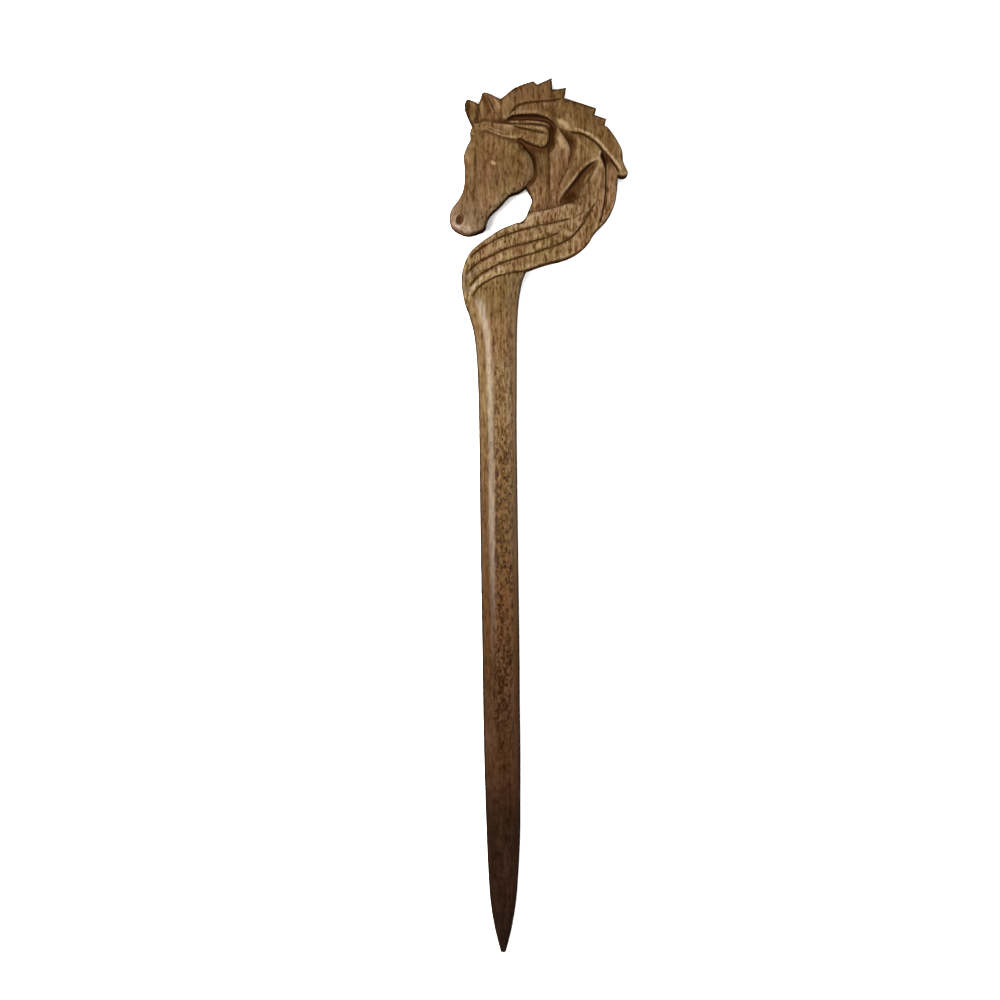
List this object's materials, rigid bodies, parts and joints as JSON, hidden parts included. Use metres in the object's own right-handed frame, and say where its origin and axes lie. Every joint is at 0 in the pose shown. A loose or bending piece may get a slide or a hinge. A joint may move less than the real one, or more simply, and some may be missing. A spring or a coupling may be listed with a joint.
{
  "type": "carved wooden hair stick",
  "caption": "Hair stick carved from one piece of wood: a tapered shaft with a horse's head, whose mane wraps across the top of the shaft.",
  "frame": {"origin": "centre of the bounding box in plan, on the surface that the flat back rests on", "axes": "+Z out of the carved face, +Y along the stick from the point to the head, the muzzle towards -X"},
  "size_m": [0.0386, 0.19, 0.0085],
  "materials": {
    "wood": "walnut, satin varnish, darker in the cuts and towards the point"
  },
  "bodies": {
    "root": {"hair_stick": "wood"}
  },
  "joints": []
}
